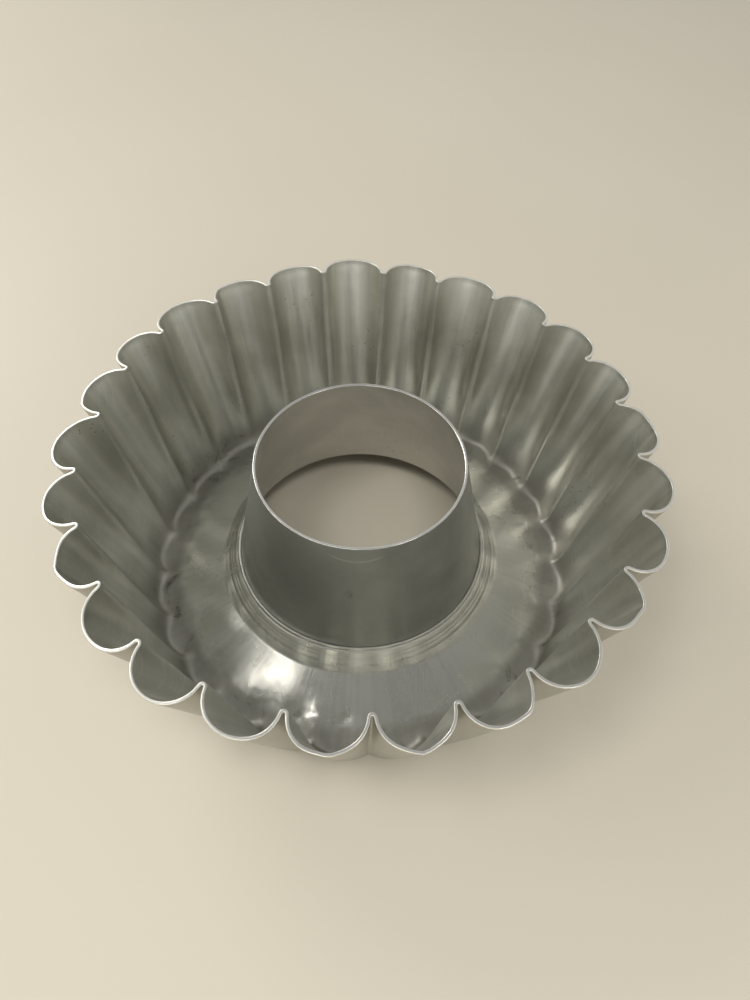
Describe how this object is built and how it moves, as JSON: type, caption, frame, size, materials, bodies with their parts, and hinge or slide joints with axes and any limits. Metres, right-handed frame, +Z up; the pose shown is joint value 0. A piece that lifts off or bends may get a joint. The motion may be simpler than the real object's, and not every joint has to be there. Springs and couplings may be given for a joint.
{
  "type": "fluted ring cake mould",
  "caption": "Fluted ring cake mould in pressed aluminium, with an open conical centre tube.",
  "frame": {"origin": "on the vertical axis of the mould, in the plane of the foot that it stands on", "axes": "+Z up along the axis of the mould; the ridge between two flutes lies on +X"},
  "size_m": [0.2593, 0.2596, 0.0893],
  "materials": {
    "pan_aluminium": "satin",
    "tube_aluminium": "satin"
  },
  "bodies": {
    "root": {"fluted_pan": "pan_aluminium", "centre_tube": "tube_aluminium"}
  },
  "joints": []
}
